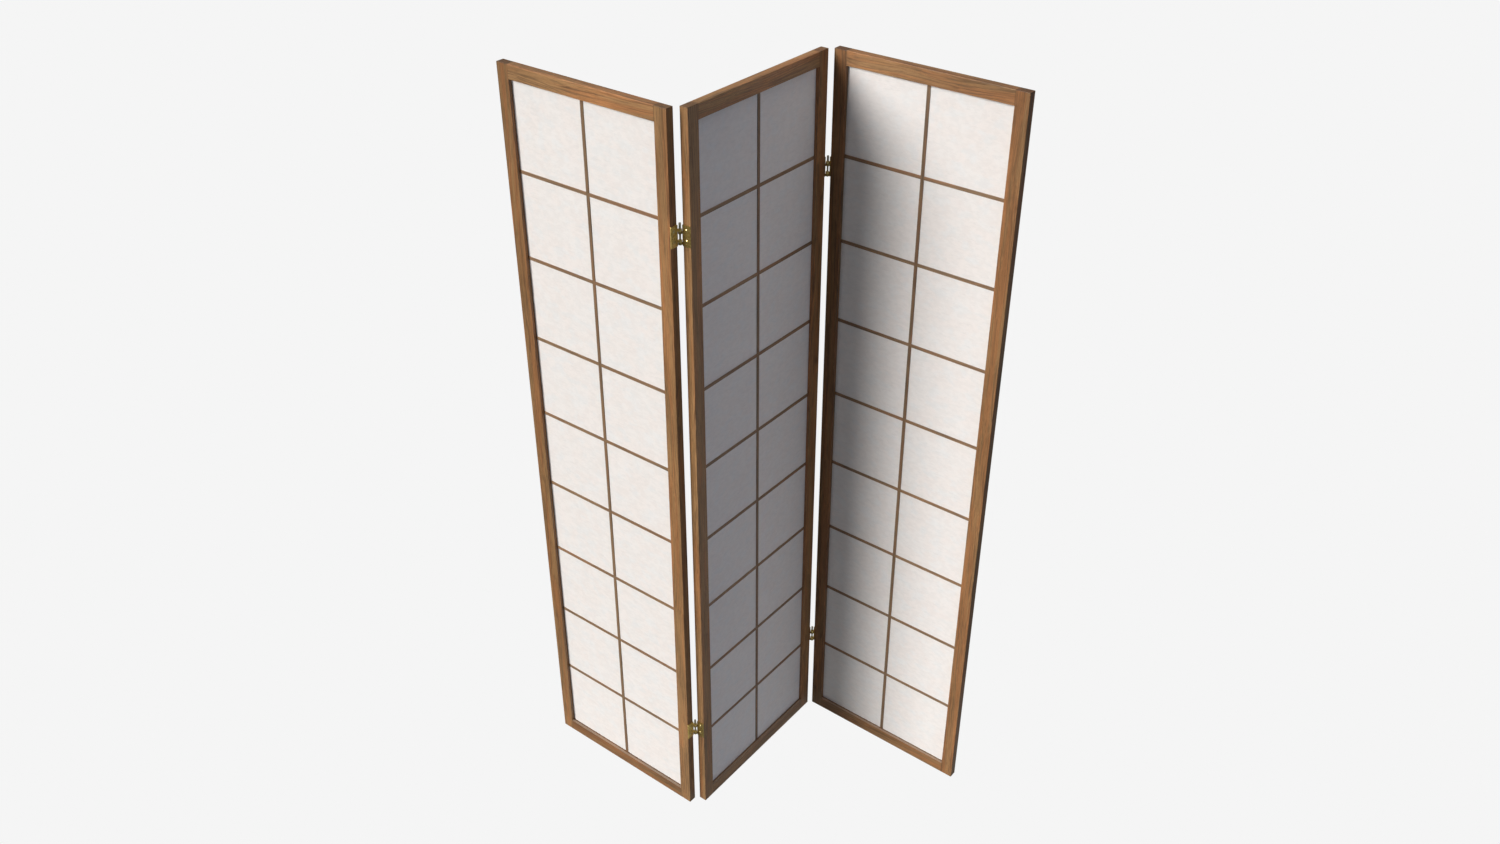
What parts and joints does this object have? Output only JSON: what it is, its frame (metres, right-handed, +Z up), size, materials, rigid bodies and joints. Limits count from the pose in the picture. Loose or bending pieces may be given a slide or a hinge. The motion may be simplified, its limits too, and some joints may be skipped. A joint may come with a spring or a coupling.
{
  "type": "folding screen",
  "caption": "Free-standing folding screen of hinged wooden panels with paper panes in a bar lattice; the panels fold flat against each other.",
  "frame": {"origin": "on the floor under the centre of the middle panel, which is the centre of the standing screen's footprint", "axes": "+Z up; -Y towards the viewer, the lattice side of the screen; the middle panel runs along (1, 1, 0), and the outer panels at right angles to it"},
  "size_m": [0.9786, 0.3218, 1.778],
  "materials": {
    "frame_wood": "satin",
    "rail_wood": "satin",
    "lattice_wood": "satin",
    "bead_wood": "satin",
    "shoji_paper": "matte",
    "hinge_brass": "satin",
    "screw_brass": "polished",
    "pin_steel": "satin",
    "brad_steel": "satin"
  },
  "bodies": {
    "left_panel": {"left_panel_left_stile": "frame_wood", "left_panel_right_stile": "frame_wood", "left_panel_top_rail": "rail_wood", "left_panel_bottom_rail": "rail_wood", "left_panel_upright_bar": "lattice_wood", "left_panel_cross_bars": "lattice_wood", "left_panel_paper": "shoji_paper", "left_panel_back_beads": "bead_wood", "left_panel_brads": "brad_steel", "left_upper_hinge_outer_leaf": "hinge_brass", "left_lower_hinge_outer_leaf": "hinge_brass", "left_panel_hinge_screws": "screw_brass"},
    "middle_panel": {"middle_panel_left_stile": "frame_wood", "middle_panel_right_stile": "frame_wood", "middle_panel_top_rail": "rail_wood", "middle_panel_bottom_rail": "rail_wood", "middle_panel_upright_bar": "lattice_wood", "middle_panel_cross_bars": "lattice_wood", "middle_panel_paper": "shoji_paper", "middle_panel_back_beads": "bead_wood", "middle_panel_brads": "brad_steel", "left_upper_hinge_middle_leaf": "hinge_brass", "left_lower_hinge_middle_leaf": "hinge_brass", "middle_panel_left_hinge_screws": "screw_brass", "right_upper_hinge_middle_leaf": "hinge_brass", "right_lower_hinge_middle_leaf": "hinge_brass", "middle_panel_right_hinge_screws": "screw_brass"},
    "right_panel": {"right_panel_left_stile": "frame_wood", "right_panel_right_stile": "frame_wood", "right_panel_top_rail": "rail_wood", "right_panel_bottom_rail": "rail_wood", "right_panel_upright_bar": "lattice_wood", "right_panel_cross_bars": "lattice_wood", "right_panel_paper": "shoji_paper", "right_panel_back_beads": "bead_wood", "right_panel_brads": "brad_steel", "right_upper_hinge_outer_leaf": "hinge_brass", "right_lower_hinge_outer_leaf": "hinge_brass", "right_panel_hinge_screws": "screw_brass"},
    "left_upper_pin": {"left_upper_hinge_pin": "pin_steel"},
    "left_lower_pin": {"left_lower_hinge_pin": "pin_steel"},
    "right_upper_pin": {"right_upper_hinge_pin": "pin_steel"},
    "right_lower_pin": {"right_lower_hinge_pin": "pin_steel"}
  },
  "joints": [
    {"name": "left_fold", "type": "hinge", "parent": "middle_panel", "child": "left_panel", "pos_m": [-0.16511, -0.14602, 0], "axis": [0, 0, 1], "range_deg": [-90, 90]},
    {"name": "right_fold", "type": "hinge", "parent": "middle_panel", "child": "right_panel", "pos_m": [0.16511, 0.14602, 0], "axis": [0, 0, 1], "range_deg": [-90, 90]},
    {"name": "left_upper_pin_lift", "type": "slide", "parent": "middle_panel", "child": "left_upper_pin", "axis": [0, 0, 1], "range_m": [0, 0.033]},
    {"name": "left_lower_pin_lift", "type": "slide", "parent": "middle_panel", "child": "left_lower_pin", "axis": [0, 0, 1], "range_m": [0, 0.033]},
    {"name": "right_upper_pin_lift", "type": "slide", "parent": "middle_panel", "child": "right_upper_pin", "axis": [0, 0, 1], "range_m": [0, 0.033]},
    {"name": "right_lower_pin_lift", "type": "slide", "parent": "middle_panel", "child": "right_lower_pin", "axis": [0, 0, 1], "range_m": [0, 0.033]}
  ]
}
